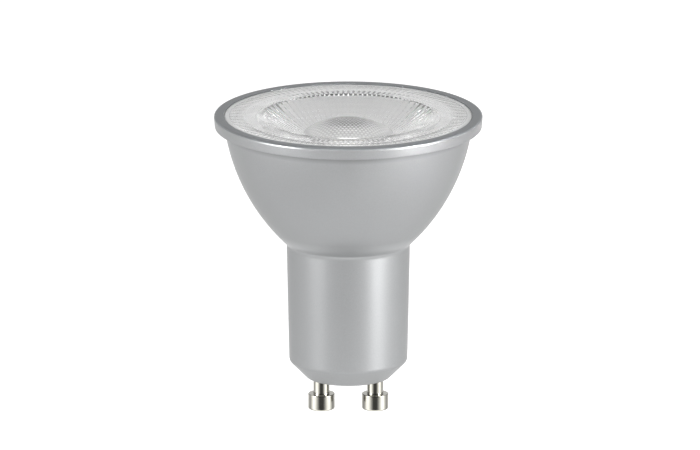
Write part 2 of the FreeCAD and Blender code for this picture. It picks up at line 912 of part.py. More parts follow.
# Wires
def make_lead_wire(side):
    """Lead from the pin's hollow tail to the driver board"""
    x = side * pin_spacing / 2
    points = [Vector(x, 0, z_tail - pin_cup_depth), Vector(x, 0, z_lead), Vector(x, board_face, z_lead)]
    return bent_bar(points, wire_radius, wire_bend_radius)


def make_feed_wire(side):
    """Wire from the driver board up through the cup to a pad on the LED board"""
    x0 = side * feed_offset
    x1 = side * feed_hole_offset
    y = board_back + feed_wire_standoff
    z0 = z_board_top - feed_wire_drop
    z1 = z_feed
    z2 = z_emitter + wire_radius + wire_rest
    points = [
        Vector(x0, board_back, z0),
        Vector(x0, y, z0),
        Vector(x0, y, z1),
        Vector(x1, 0, z1),
        Vector(x1, 0, z2),
        Vector(x1 + side * feed_wire_reach, 0, z2),
    ]
    return bent_bar(points, wire_radius, wire_bend_radius)


parts = {
    "housing": make_housing,
    "contact_pin_left": lambda: make_pin(-pin_spacing / 2),
    "contact_pin_right": lambda: make_pin(pin_spacing / 2),
    "lens": make_lens,
    "heat_sink_cup": make_heat_sink_cup,
    "thermal_pad": make_thermal_pad,
    "led_board": make_led_board,
    "emitter_dam": make_emitter_dam,
    "emitter_phosphor": make_emitter_phosphor,
    "board_screws": make_board_screws,
    "driver_board": make_driver_board,
    "fuse_resistor": make_fuse_resistor,
    "surge_varistor": make_surge_varistor,
    "film_capacitor": make_film_capacitor,
    "bulk_capacitor": make_bulk_capacitor,
    "inductor_core": make_inductor_core,
    "inductor_winding": make_inductor_winding,
    "driver_chip": make_driver_chip,
    "bridge_rectifier": make_bridge_rectifier,
    "output_diode": make_output_diode,
    "chip_resistors": make_chip_resistors,
    "chip_capacitors": make_chip_capacitors,
    "lead_wire_left": lambda: make_lead_wire(-1),
    "lead_wire_right": lambda: make_lead_wire(1),
    "feed_wire_negative": lambda: make_feed_wire(-1),
    "feed_wire_positive": lambda: make_feed_wire(1),
}

os.makedirs("parts", exist_ok=True)
for name, make in parts.items():
    shape = make()
    shape.exportStep("parts/" + name + ".step")
    print(name, "solids", len(shape.Solids), "volume", round(shape.Volume, 2), "valid", shape.isValid())
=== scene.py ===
import math
import bpy
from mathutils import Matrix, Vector


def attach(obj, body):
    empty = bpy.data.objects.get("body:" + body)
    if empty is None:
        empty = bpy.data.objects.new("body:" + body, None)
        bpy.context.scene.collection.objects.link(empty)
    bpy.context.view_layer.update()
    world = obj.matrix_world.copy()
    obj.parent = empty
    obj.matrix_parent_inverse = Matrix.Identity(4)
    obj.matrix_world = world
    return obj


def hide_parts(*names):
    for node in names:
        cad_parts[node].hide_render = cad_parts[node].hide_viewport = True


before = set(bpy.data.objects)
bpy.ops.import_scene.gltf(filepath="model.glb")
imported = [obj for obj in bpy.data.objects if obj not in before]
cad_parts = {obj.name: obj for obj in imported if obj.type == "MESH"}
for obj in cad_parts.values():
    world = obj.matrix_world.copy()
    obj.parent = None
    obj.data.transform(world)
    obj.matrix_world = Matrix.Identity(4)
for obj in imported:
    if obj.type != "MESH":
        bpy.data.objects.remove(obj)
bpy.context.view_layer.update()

MM = 0.001

# All sizes are in millimetres, heights are from the pin tips

# Housing
Z_BASE = 6.40
Z_TOP = Z_BASE + 50.14
Z_RIM = Z_TOP - 2.15
Z_NECK = Z_BASE + 25.6
Z_CHAMFER = Z_BASE + 3.2
Z_FLOOR = Z_BASE + 2.0
R_RIM_LOW = 24.82
R_RIM_TOP = 25.02
R_OPENING = 23.05
R_BOWL_TOP = 23.02
R_NECK = 11.475
R_NECK_LOW = 11.0
R_BASE = 7.85
BOWL_ARC = 37.7
WALL = 1.2
BOWL_START = 0.75
BOWL_STEPS = 40
BOWL_INNER_STEPS = 24
BASE_EDGE = 0.35
CHAMFER_BLEND = 1.1
NECK_BLEND = 1.2
UNDER_RIM_EDGE = 0.08
RIM_LOW_EDGE = 0.12
RIM_TOP_EDGE = 0.45
OPENING_EDGE = 0.06
HOUSING_SEGMENTS = 288

# Contact pins
PIN_X = 5.0
R_HEAD = 2.5
R_PIN = 1.525
R_TAIL = 1.2
Z_HEAD = 2.95
Z_BOSS = Z_FLOOR + 3.4
Z_TAIL = Z_FLOOR + 5.8
HEAD_LOW_EDGE = 0.28
HEAD_TOP_EDGE = 0.14
HEAD_INNER_EDGE = 0.08
TAIL_EDGE = 0.1
PIN_SEGMENTS = 128

# What stands under the lens, from the base up
CUP_RISE = 33.5
CUP_FLOOR = 1.5
PAD = 0.3
BOARD = 1.6
FOOT_GAP = 0.5

# Lens: face, flat ring and well
Z_FACE = Z_TOP - 0.17
Z_LEDGE = Z_FACE - 1.1
Z_WELL = Z_FACE - 3.2
R_LENS = 23.0
FACE_RADII = (21.5, 20.0, 18.0)
R_FUNNEL_START = 17.0
R_WELL = 16.25
WELL_EDGE = 0.25
LENS_EDGE_LONG = 0.15
LENS_EDGE_SHORT = 0.12

# Lens: grooves and ripple under the flat ring
GROOVES = 120
LENS_SEGMENTS = GROOVES * 4
GROOVE_DEPTH = 0.35
RIPPLE_DEPTH = 0.03
GROOVE_RADII = (17.25, 18.2, 19.2)
RIPPLE_RADII = (19.5, 20.5, 21.6)
GROOVE_STEP = 0.05

# Lens: cone with shallow flutes
Z_FOOT = Z_BASE + CUP_RISE + CUP_FLOOR + PAD + BOARD + FOOT_GAP
Z_FLARE = Z_FOOT + 0.7
R_CONE_TOP = R_WELL + 0.75
R_CONE_FOOT = 7.3
CONE_BULGE = 0.9
CONE_STEPS = 64
FLUTES = 72
FLUTE_DEPTH = 0.2
FLUTE_START = 0.25
FLUTE_FULL = 0.35
FLUTE_ROW = 1.15
FLUTE_SHARE = 0.8

# Lens: cavity over the emitter
CAVITY_DEPTH = 4.6
CAVITY_CROWN = 0.9
R_CAVITY_ROOF = 5.8
R_CAVITY_FOOT = 6.1
ROOF_STEPS = 8

# Lens: dome with small lens beads
R_DOME = 8.2
DOME_RISE = 2.5
DOME_RADIUS = (R_DOME ** 2 + DOME_RISE ** 2) / (2 * DOME_RISE)
Z_DOME_CENTRE = Z_WELL + DOME_RISE - DOME_RADIUS
DOME_EDGE = 0.2
DOME_FLANK = (0.7, 0.42)
DOME_RINGS = 84
R_BEADS = R_DOME - 0.3
BEAD_FADE = 0.5
BEAD_PITCH = 0.72
BEAD_RISE = 0.1

# Shading
GUARD = 0.1
SMOOTH_ANGLE = 30.0
LENS_SMOOTH_ANGLE = 28.0
EDGE_STEPS = 6
FUNNEL_EDGE_STEPS = 4

# Colours, each as a darker and a lighter tone
SILVER_FLAKE = ((0.262, 0.267, 0.271), (0.323, 0.328, 0.332))
SILVER_CLOUD = ((0.286, 0.291, 0.295), (0.304, 0.309, 0.313))
# Painted shade for the paint close under the rim
SILVER_UNDER_RIM_SHADE = ((0.212, 0.216, 0.219), (0.226, 0.230, 0.233))
# Painted light for the paint where the bowl curves into the neck
SILVER_BEND_PAINTED_LIGHT = ((0.385, 0.391, 0.396), (0.405, 0.411, 0.416))
# Painted shade for the rim's flat top ring
RIM_RING_PAINTED_SHADE = ((0.142, 0.150, 0.157), (0.165, 0.173, 0.180))
BARE_PLASTIC = ((0.80, 0.80, 0.80), (0.84, 0.84, 0.84))
NICKEL = ((0.90, 0.89, 0.84), (0.97, 0.96, 0.92))
CLEAR = ((0.99, 0.99, 0.99), (1.0, 1.0, 1.0))
HAZE_RING = ((0.62, 0.625, 0.625), (0.68, 0.685, 0.685))
# Painted light and shade for the dome's beads, in the middle and farther out
BEAD_SHADING_MIDDLE = ((0.0, 0.0, 0.0), (0.50, 0.505, 0.505))
BEAD_SHADING_OUTER = ((0.72, 0.72, 0.72), (1.0, 1.0, 1.0))

# Painted reflection tones of the nickel plate, from facing the view to edge on, and their warmth
NICKEL_PAINTED_REFLECTION_STOPS = [
    (0.0, 0.02), (0.045, 0.035), (0.095, 0.4), (0.15, 0.76),
    (0.23, 0.84), (0.36, 0.36), (0.49, 0.17), (0.8, 0.42),
]
NICKEL_WARMTH = (1.0, 0.985, 0.93)

# Where the silver paint changes, and where painted shade and painted light lie on it, as heights in
# pairs: none at the first, full at the second
RIM_RING_FINISH_AND_SHADE_ZONE = (Z_TOP - 0.30, Z_TOP - 0.18)
BARE_ZONE = (Z_FACE - 0.04, Z_FACE - 0.06)
UNDER_RIM_SHADE_ZONES = ((Z_RIM - 1.5, Z_RIM - 0.6), (Z_RIM - 0.02, Z_RIM - 0.04))
BEND_LIGHT_ZONES = ((Z_NECK - 0.3, Z_NECK + 0.5), (Z_NECK + 3.0, Z_NECK + 1.0))

# How far a surface faces the axis, and looks up, in such pairs
FACES_AXIS = (-0.02, -0.04)
LOOKS_UP = (0.5, 0.6)

# Where the lens has haze, as heights and radii in such pairs, and how much it has there
FACE_ZONE = (Z_LEDGE + 0.3, Z_LEDGE + 0.6)
WELL_ZONE = (Z_WELL - 0.6, Z_WELL - 0.3)
FLAT_RADII = (R_WELL + 0.05, R_WELL + 0.35)
EDGE_RADII = (RIPPLE_RADII[-1] + 0.3, RIPPLE_RADII[-1] + 0.6)
DOME_RADII = (R_DOME + 0.1, R_DOME - 0.1)
# Where the dome's painted light and shade turns from the middle tones to the outer ones, and the
# bead heights over which it runs from dark to pale
BEAD_SHADING_RADII = (2.5, 7.5)
BEAD_SHADING_RELIEF = (DOME_RADIUS + 0.4 * BEAD_RISE, DOME_RADIUS + 1.0 * BEAD_RISE)
FLAT_HAZE = 0.12
EDGE_HAZE = 0.5
DOME_HAZE = 0.62

# Surfaces; a pair is the span that fine noise goes through
SILVER_METALLIC = 0.86
SILVER_SPECULAR = 0.3
RIM_RING_SPECULAR = 0.08
SILVER_TINT = (0.75, 0.75, 0.75, 1.0)
SILVER_ROUGHNESS = (0.30, 0.37)
NICKEL_ROUGHNESS = (0.12, 0.2)
LENS_ROUGHNESS = (0.0, 0.03)
HAZE_ROUGHNESS = 0.3
ACRYLIC_IOR = 1.49


# Outline helpers
def bowl_centre():
    """Centre of the bowl's outline arc"""
    rise = Z_RIM - Z_NECK
    run = R_BOWL_TOP - R_NECK
    chord = math.hypot(run, rise)
    reach = math.sqrt(BOWL_ARC ** 2 - (chord / 2) ** 2)
    r = (R_NECK + R_BOWL_TOP) / 2 - rise / chord * reach
    z = (Z_NECK + Z_RIM) / 2 + run / chord * reach
    return r, z


def bowl_radius(z, inset=0.0):
    """Radius of the bowl at a height, inset from its outside"""
    cr, cz = bowl_centre()
    return cr + math.sqrt((BOWL_ARC - inset) ** 2 - (z - cz) ** 2)


def bowl_height(radius, inset=0.0):
    """Height at which the bowl has a radius, inset from its outside"""
    cr, cz = bowl_centre()
    return cz - math.sqrt((BOWL_ARC - inset) ** 2 - (radius - cr) ** 2)


def bowl_points(z0, z1, inset, count):
    """Points along the bowl's arc between two heights"""
    zs = [z0 + (z1 - z0) * i / count for i in range(count + 1)]
    return [(bowl_radius(z, inset), z, 0.0) for z in zs]


def arc_points(centre, arm, sweep, steps):
    """Points of the arc that an arm from the centre draws through the sweep"""
    points = []
    for i in range(steps + 1):
        angle = sweep * i / steps
        c, s = math.cos(angle), math.sin(angle)
        points.append((centre.x + arm.x * c - arm.y * s, centre.y + arm.x * s + arm.y * c))
    return points


def rounded(points, steps=EDGE_STEPS):
    """Outline through (r, z, corner radius) points with each such corner turned into an arc

    A point close to each end of an arc keeps the shading of the straight parts flat.
    """
    out = []
    last = len(points) - 1
    for i, (r, z, radius) in enumerate(points):
        if radius <= 0 or i in (0, last):
            out.append((r, z))
            continue
        here = Vector((r, z))
        to_back = Vector(points[i - 1][:2]) - here
        to_ahead = Vector(points[i + 1][:2]) - here
        back, ahead = to_back.normalized(), to_ahead.normalized()
        half = math.acos(max(-1.0, min(1.0, back.dot(ahead)))) / 2
        trim = radius / math.tan(half)
        centre = here + (back + ahead).normalized() * (radius / math.sin(half))
        if to_back.length > 2 * (trim + GUARD):
            out.append(tuple(here + back * (trim + GUARD)))
        a = here + back * trim - centre
        b = here + ahead * trim - centre
        sweep = math.atan2(a.x * b.y - a.y * b.x, a.dot(b))
        out += arc_points(centre, a, sweep, steps)
        if to_ahead.length > 2 * (trim + GUARD):
            out.append(tuple(here + ahead * (trim + GUARD)))
    return out


def bulged(start, end, bulge, count):
    """Points of the arc from start to end that stands out by bulge to the right of its chord"""
    a, b = Vector(start), Vector(end)
    chord = b - a
    half = chord.length / 2
    radius = (half ** 2 + bulge ** 2) / (2 * bulge)
    side = Vector((chord.y, -chord.x)).normalized()
    centre = (a + b) / 2 + side * (bulge - radius)
    return arc_points(centre, a - centre, 2 * math.asin(half / radius), count)


# Mesh helpers
def new_object(name, verts, faces, smooth_angle=SMOOTH_ANGLE):
    """Mesh object from millimetre points, with edges over the angle kept sharp"""
    mesh = bpy.data.meshes.new(name)
    mesh.from_pydata([tuple(c * MM for c in v) for v in verts], [], faces)
    mesh.polygons.foreach_set("use_smooth", [True] * len(mesh.polygons))
    mesh.update()
    mesh.set_sharp_from_angle(angle=math.radians(smooth_angle))
    obj = bpy.data.objects.new(name, mesh)
    bpy.context.scene.collection.objects.link(obj)
    return obj


def lathe(name, outline, segments, centre=(0.0, 0.0), smooth_angle=SMOOTH_ANGLE, shape=None):
    """Turned piece from a closed outline of (r, z) points

    A point on the axis becomes one vertex. The shape function may move a ring's points.
    """
    verts, rings = [], []
    for index, (r, z) in enumerate(outline):
        if r < 1e-6:
            rings.append([len(verts)])
            verts.append((centre[0], centre[1], z))
            continue
        ring = []
        for k in range(segments):
            angle = 2 * math.pi * k / segments
            rr, zz = (r, z) if shape is None else shape(index, r, z, angle)
            ring.append(len(verts))
            verts.append((centre[0] + rr * math.cos(angle), centre[1] + rr * math.sin(angle), zz))
        rings.append(ring)
    faces = []
    for a, b in zip(rings, rings[1:] + rings[:1]):
        if len(a) == 1 and len(b) == 1:
            continue
        for k in range(segments):
            n = (k + 1) % segments
            if len(a) == 1:
                faces.append((a[0], b[n], b[k]))
            elif len(b) == 1:
                faces.append((a[k], a[n], b[0]))
            else:
                faces.append((a[k], a[n], b[n], b[k]))
    return new_object(name, verts, faces, smooth_angle)


# Material helpers
def shader(name):
    """New node material: the material, its tree and its Principled shader"""
    material = bpy.data.materials.new(name)
    material.use_nodes = True
    tree = material.node_tree
    bsdf = next(n for n in tree.nodes if n.type == "BSDF_PRINCIPLED")
    return material, tree, bsdf


def object_coords(tree):
    return tree.nodes.new("ShaderNodeTexCoord").outputs["Object"]


def noise(tree, coords, scale, detail=2.0):
    """Noise value on the coordinates"""
    node = tree.nodes.new("ShaderNodeTexNoise")
    node.inputs["Scale"].default_value = scale
    node.inputs["Detail"].default_value = detail
    tree.links.new(coords, node.inputs["Vector"])
    return node.outputs["Fac"]


def ramp(tree, source, low, high, start=0.3, end=0.7):
    """Colour ramp between two colours"""
    node = tree.nodes.new("ShaderNodeValToRGB")
    ends = node.color_ramp.elements
    ends[0].position = start
    ends[1].position = end
    ends[0].color = (*low, 1.0)
    ends[1].color = (*high, 1.0)
    tree.links.new(source, node.inputs["Fac"])
    return node.outputs["Color"]


def map_range(tree, source, start, end, low=0.0, high=1.0):
    """Low where the source is at start, high where it is at end, level beyond both"""
    node = tree.nodes.new("ShaderNodeMapRange")
    node.inputs["From Min"].default_value = start
    node.inputs["From Max"].default_value = end
    node.inputs["To Min"].default_value = low
    node.inputs["To Max"].default_value = high
    tree.links.new(source, node.inputs["Value"])
    return node.outputs["Result"]


def spread(tree, source, low, high):
    """A number between low and high that follows the source from 0 to 1"""
    return map_range(tree, source, 0.0, 1.0, low, high)


def calculate(tree, operation, a, b):
    """Result of a two-input Math node"""
    node = tree.nodes.new("ShaderNodeMath")
    node.operation = operation
    tree.links.new(a, node.inputs[0])
    tree.links.new(b, node.inputs[1])
    return node.outputs[0]


def product(tree, a, b):
    return calculate(tree, "MULTIPLY", a, b)


def largest(tree, a, b):
    return calculate(tree, "MAXIMUM", a, b)


def vector_node(tree, operation, source, other=None):
    """Vector Math node whose second input is a fixed vector, a socket or nothing"""
    node = tree.nodes.new("ShaderNodeVectorMath")
    node.operation = operation
    tree.links.new(source, node.inputs[0])
    if isinstance(other, tuple):
        node.inputs[1].default_value = other
    elif other is not None:
        tree.links.new(other, node.inputs[1])
    return node


def level_part(tree, vector):
    """The vector with its height left out"""
    return vector_node(tree, "MULTIPLY", vector, (1.0, 1.0, 0.0)).outputs["Vector"]


def component(tree, vector, axis):
    """One coordinate of a vector"""
    node = tree.nodes.new("ShaderNodeSeparateXYZ")
    tree.links.new(vector, node.inputs["Vector"])
    return node.outputs[axis]


def blend(tree, factor, a, b, mode="MIX"):
    """Mix of two colours, by a number or by a socket"""
    node = tree.nodes.new("ShaderNodeMix")
    node.data_type = "RGBA"
    node.blend_type = mode
    if isinstance(factor, float):
        node.inputs[0].default_value = factor
    else:
        tree.links.new(factor, node.inputs[0])
    tree.links.new(a, node.inputs[6])
    tree.links.new(b, node.inputs[7])
    return node.outputs[2]


def mix_shaders(tree, factor, a, b):
    node = tree.nodes.new("ShaderNodeMixShader")
    tree.links.new(factor, node.inputs["Fac"])
    tree.links.new(a, node.inputs[1])
    tree.links.new(b, node.inputs[2])
    return node.outputs[0]


def band(tree, coords, low, high):
    """0 at one height in millimetres and beyond, 1 at the other and beyond"""
    return map_range(tree, component(tree, coords, "Z"), low * MM, high * MM)


def between(tree, coords, rising, falling):
    """1 between two bands, 0 below and above them"""
    return product(tree, band(tree, coords, *rising), band(tree, coords, *falling))


def radius_band(tree, coords, low, high, centre=(0.0, 0.0)):
    """0 at one radius from an upright axis and beyond, 1 at the other and beyond"""
    middle = (centre[0] * MM, centre[1] * MM, 0.0)
    away = vector_node(tree, "SUBTRACT", coords, middle).outputs["Vector"]
    length = vector_node(tree, "LENGTH", level_part(tree, away)).outputs["Value"]
    return map_range(tree, length, low * MM, high * MM)


def inner_side(tree):
    """1 where a surface faces the axis or looks up, 0 elsewhere"""
    place = tree.nodes.new("ShaderNodeTexCoord")
    normal = place.outputs["Normal"]
    outward = vector_node(tree, "NORMALIZE", level_part(tree, place.outputs["Object"]))
    facing = vector_node(tree, "DOT_PRODUCT", outward.outputs["Vector"], normal).outputs["Value"]
    inward = map_range(tree, facing, *FACES_AXIS)
    upward = map_range(tree, component(tree, normal, "Z"), *LOOKS_UP)
    return largest(tree, inward, upward)


def bump(tree, bsdf, source, strength, depth):
    """Fine relief of the given depth in millimetres"""
    node = tree.nodes.new("ShaderNodeBump")
    node.inputs["Strength"].default_value = strength
    node.inputs["Distance"].default_value = depth * MM
    tree.links.new(source, node.inputs["Height"])
    tree.links.new(node.outputs["Normal"], bsdf.inputs["Normal"])


def seen_directly(tree):
    """1 for what the camera sees straight, mirrored or through the lens, 0 for diffuse light"""
    path = tree.nodes.new("ShaderNodeLightPath")
    straight = largest(tree, path.outputs["Is Camera Ray"], path.outputs["Is Glossy Ray"])
    return largest(tree, straight, path.outputs["Is Transmission Ray"])


# Materials
def mottled(name, low, high, roughness, metallic=0.0, grain=900.0):
    """Surface whose colour, roughness and bump all follow fine noise"""
    material, tree, bsdf = shader(name)
    coords = object_coords(tree)
    coarse = noise(tree, coords, grain, 3.0)
    fine = noise(tree, coords, grain * 6)
    rough = spread(tree, fine, roughness * 0.85, roughness * 1.15)
    tree.links.new(ramp(tree, coarse, low, high), bsdf.inputs["Base Color"])
    tree.links.new(rough, bsdf.inputs["Roughness"])
    bsdf.inputs["Metallic"].default_value = metallic
    bump(tree, bsdf, fine, strength=0.3, depth=0.02)
    return material


def silver_plastic():
    """Silver moulding with metal flake and faint waviness

    The rim's flat ring is darker, with painted shade, and less metallic. Painted shade darkens the
    paint close under the rim and painted light lightens it where the bowl curves into the neck. The
    inner side is bare plastic.
    """
    material, tree, bsdf = shader("silver_plastic")
    coords = object_coords(tree)
    flake = noise(tree, coords, scale=9000.0, detail=1.0)
    cloud = noise(tree, coords, scale=60.0)
    wave = noise(tree, coords, scale=260.0)

    # Painted shade on the rim's flat ring, which is also less metallic, and close under the rim;
    # painted light where the bowl curves into the neck
    ring = band(tree, coords, *RIM_RING_FINISH_AND_SHADE_ZONE)
    inner = product(tree, inner_side(tree), band(tree, coords, *BARE_ZONE))
    under_rim_shade = between(tree, coords, *UNDER_RIM_SHADE_ZONES)
    bend_light = between(tree, coords, *BEND_LIGHT_ZONES)

    flake_colour = ramp(tree, flake, *SILVER_FLAKE)
    cloud_colour = ramp(tree, cloud, *SILVER_CLOUD)
    colour = blend(tree, 0.5, flake_colour, cloud_colour)
    colour = blend(tree, under_rim_shade, colour, ramp(tree, cloud, *SILVER_UNDER_RIM_SHADE))
    colour = blend(tree, bend_light, colour, ramp(tree, cloud, *SILVER_BEND_PAINTED_LIGHT))
    colour = blend(tree, ring, colour, ramp(tree, flake, *RIM_RING_PAINTED_SHADE))
    colour = blend(tree, inner, colour, ramp(tree, cloud, *BARE_PLASTIC))
    tree.links.new(colour, bsdf.inputs["Base Color"])

    unmetallic = largest(tree, ring, inner)
    specular = spread(tree, ring, SILVER_SPECULAR, RIM_RING_SPECULAR)
    tree.links.new(spread(tree, unmetallic, SILVER_METALLIC, 0.0), bsdf.inputs["Metallic"])
    tree.links.new(spread(tree, flake, *SILVER_ROUGHNESS), bsdf.inputs["Roughness"])
    tree.links.new(specular, bsdf.inputs["Specular IOR Level"])
    bsdf.inputs["Specular Tint"].default_value = SILVER_TINT
    bump(tree, bsdf, wave, strength=0.25, depth=0.012)
    return material


def nickel():
    """Bright nickel plate with faint turning lines

    Its tone is a painted reflection that follows the angle to the view, as plate does between the
    lights and darks of a studio.
    """
    material, tree, bsdf = shader("nickel_plate")
    coords = object_coords(tree)
    upright = tree.nodes.new("ShaderNodeCombineXYZ")
    tree.links.new(component(tree, coords, "Z"), upright.inputs["Z"])
    lines = noise(tree, upright.outputs["Vector"], scale=14000.0)
    plate = ramp(tree, noise(tree, coords, scale=500.0), *NICKEL)

    # Painted reflection: the plate's tone is set by how far it faces the view
    facing = tree.nodes.new("ShaderNodeLayerWeight")
    facing.inputs["Blend"].default_value = 0.5
    tones = tree.nodes.new("ShaderNodeValToRGB")
    tree.links.new(facing.outputs["Facing"], tones.inputs["Fac"])
    elements = tones.color_ramp.elements
    for position, _ in NICKEL_PAINTED_REFLECTION_STOPS[2:]:
        elements.new(position)
    for element, (position, level) in zip(elements, NICKEL_PAINTED_REFLECTION_STOPS):
        element.position = position
        element.color = (*(level * share for share in NICKEL_WARMTH), 1.0)

    colour = blend(tree, 1.0, plate, tones.outputs["Color"], "MULTIPLY")
    tree.links.new(colour, bsdf.inputs["Base Color"])
    tree.links.new(spread(tree, lines, *NICKEL_ROUGHNESS), bsdf.inputs["Roughness"])
    bsdf.inputs["Metallic"].default_value = 1.0
    bump(tree, bsdf, lines, strength=0.15, depth=0.004)
    return material


def clear_lens():
    """Clear acrylic with a pale haze mixed in on the flat ring, at its edge and on the dome"""
    material, tree, bsdf = shader("clear_acrylic")
    coords = object_coords(tree)
    haze = noise(tree, coords, scale=1500.0)
    tree.links.new(ramp(tree, haze, *CLEAR), bsdf.inputs["Base Color"])
    tree.links.new(spread(tree, haze, *LENS_ROUGHNESS), bsdf.inputs["Roughness"])
    bsdf.inputs["Transmission Weight"].default_value = 1.0
    bsdf.inputs["IOR"].default_value = ACRYLIC_IOR

    # Dome tones, painted light and shade: pale bead tops, painted shade between the beads and in
    # the middle
    dome_centre = (0.0, 0.0, Z_DOME_CENTRE * MM)
    from_centre = vector_node(tree, "DISTANCE", coords, dome_centre).outputs["Value"]
    relief = map_range(tree, from_centre, BEAD_SHADING_RELIEF[0] * MM, BEAD_SHADING_RELIEF[1] * MM)
    middle = ramp(tree, relief, *BEAD_SHADING_MIDDLE, 0.0, 1.0)
    outer = ramp(tree, relief, *BEAD_SHADING_OUTER, 0.0, 1.0)
    dome_painted_shading = blend(tree, radius_band(tree, coords, *BEAD_SHADING_RADII), middle, outer)

    on_flat = radius_band(tree, coords, *FLAT_RADII)
    on_edge = radius_band(tree, coords, *EDGE_RADII)
    on_dome = radius_band(tree, coords, *DOME_RADII)
    near_face = band(tree, coords, *FACE_ZONE)
    near_well = band(tree, coords, *WELL_ZONE)

    milky = tree.nodes.new("ShaderNodeBsdfPrincipled")
    milky_colour = blend(tree, on_dome, ramp(tree, haze, *HAZE_RING), dome_painted_shading)
    tree.links.new(milky_colour, milky.inputs["Base Color"])
    milky.inputs["Roughness"].default_value = HAZE_ROUGHNESS
    milky.inputs["IOR"].default_value = ACRYLIC_IOR

    flat_share = spread(tree, product(tree, on_flat, near_face), 0.0, FLAT_HAZE)
    dome_share = spread(tree, product(tree, on_dome, near_well), 0.0, DOME_HAZE)
    edge_share = spread(tree, product(tree, on_edge, near_face), 0.0, EDGE_HAZE)
    share = calculate(tree, "ADD", calculate(tree, "ADD", flat_share, dome_share), edge_share)
    out = next(n for n in tree.nodes if n.type == "OUTPUT_MATERIAL")
    mixed = mix_shaders(tree, share, bsdf.outputs[0], milky.outputs[0])
    tree.links.new(mixed, out.inputs["Surface"])
    return material


# Pieces
def make_housing():
    """Moulded shell with its true wall, blended edges, rim and lens seat"""
    points = [
        (0, Z_BASE, 0),
        (R_BASE, Z_BASE, BASE_EDGE),
        (R_NECK_LOW, Z_CHAMFER, CHAMFER_BLEND),
        (R_NECK, Z_NECK, NECK_BLEND),
    ]
    bowl = bowl_points(bowl_height(R_NECK + BOWL_START), Z_RIM, 0, BOWL_STEPS)
    bowl[-1] = (*bowl[-1][:2], UNDER_RIM_EDGE)
    points += bowl
    points += [
        (R_RIM_LOW, Z_RIM, RIM_LOW_EDGE),
        (R_RIM_TOP, Z_TOP, RIM_TOP_EDGE),
        (R_OPENING, Z_TOP, OPENING_EDGE),
        (R_OPENING, Z_LEDGE, 0),
    ]
    points += bowl_points(Z_LEDGE, bowl_height(R_NECK - WALL, WALL), WALL, BOWL_INNER_STEPS)
    points += [
        (R_NECK_LOW - WALL, Z_CHAMFER, 0),
        (R_BASE, Z_FLOOR, 0),
        (0, Z_FLOOR, 0),
    ]
    return lathe("housing_shell", rounded(points), HOUSING_SEGMENTS)


def make_pin(name, x):
    """Turned pin with bevelled edges and its tail inside"""
    outline = rounded([
        (0, 0, 0),
        (R_HEAD, 0, HEAD_LOW_EDGE),
        (R_HEAD, Z_HEAD, HEAD_TOP_EDGE),
        (R_PIN, Z_HEAD, HEAD_INNER_EDGE),
        (R_PIN, Z_BOSS, 0),
        (R_TAIL, Z_BOSS, 0),
        (R_TAIL, Z_TAIL, TAIL_EDGE),
        (0, Z_TAIL, 0),
    ])
    return lathe(name, outline, PIN_SEGMENTS, (x, 0.0))


def smooth(value, low, high):
    """0 below low, 1 above high, eased between them"""
    t = min(1.0, max(0.0, (value - low) / (high - low)))
    return t * t * (3 - 2 * t)


def zigzag(turns):
    """1 at each whole number, 0 halfway between, straight in between"""
    return abs((turns % 1.0) * 2 - 1)


def bead_height(x, y):
    """Height of the small lens beads that cover the dome in a honeycomb"""
    row_pitch = BEAD_PITCH * math.sqrt(3) / 2
    base_row = round(y / row_pitch)
    nearest = math.inf
    for row in (base_row - 1, base_row, base_row + 1):
        offset = 0.5 * BEAD_PITCH if row % 2 else 0.0
        base_column = round((x - offset) / BEAD_PITCH)
        for column in (base_column - 1, base_column, base_column + 1):
            dx = x - offset - column * BEAD_PITCH
            dy = y - row * row_pitch
            nearest = min(nearest, dx ** 2 + dy ** 2)
    return BEAD_RISE * (1 - nearest / (BEAD_PITCH ** 2 / 3))


def lens_section():
    """Outline of the lens as (kind, points) runs: cavity, cone, ledge, edge, face, well and dome"""
    z_roof = Z_FOOT + CAVITY_DEPTH - CAVITY_CROWN
    roof_arc = (R_CAVITY_ROOF ** 2 + CAVITY_CROWN ** 2) / (2 * CAVITY_CROWN)
    roof_radii = [R_CAVITY_ROOF * i / ROOF_STEPS for i in range(1, ROOF_STEPS + 1)]
    roof = [(r, z_roof + roof_arc - math.sqrt(roof_arc ** 2 - r ** 2)) for r in roof_radii]
    cone = bulged((R_CONE_FOOT, Z_FLARE), (R_CONE_TOP, Z_LEDGE), CONE_BULGE, CONE_STEPS)
    plain_radii = (GROOVE_RADII[-1] + GROOVE_STEP, RIPPLE_RADII[0] - GROOVE_STEP)
    edge = [
        (R_LENS - LENS_EDGE_LONG, Z_LEDGE),
        (R_LENS, Z_LEDGE + LENS_EDGE_SHORT),
        (R_LENS, Z_FACE - LENS_EDGE_LONG),
        (R_LENS - LENS_EDGE_SHORT, Z_FACE),
    ]
    funnel = rounded([
        (R_FUNNEL_START, Z_FACE, 0),
        (R_WELL, Z_FACE, WELL_EDGE),
        (R_DOME, Z_WELL, DOME_EDGE),
        (R_DOME - DOME_FLANK[0], Z_WELL + DOME_FLANK[1], 0),
    ], FUNNEL_EDGE_STEPS)
    dome_radii = [R_BEADS * (1 - i / DOME_RINGS) for i in range(DOME_RINGS)]
    dome = [(r, Z_DOME_CENTRE + math.sqrt(DOME_RADIUS ** 2 - r ** 2)) for r in dome_radii]
    return [
        ("plain", [(0, z_roof)] + roof),
        ("plain", [(R_CAVITY_FOOT, Z_FOOT), (R_CONE_FOOT, Z_FOOT)]),
        ("flute", cone),
        ("plain", [(GROOVE_RADII[0] - GROOVE_STEP, Z_LEDGE)]),
        ("groove", [(r, Z_LEDGE) for r in GROOVE_RADII]),
        ("plain", [(r, Z_LEDGE) for r in plain_radii]),
        ("ripple", [(r, Z_LEDGE) for r in RIPPLE_RADII]),
        ("plain", edge + [(r, Z_FACE) for r in FACE_RADII] + funnel[:-1]),
        ("dome", dome),
        ("plain", [(0, Z_DOME_CENTRE + DOME_RADIUS)]),
    ]


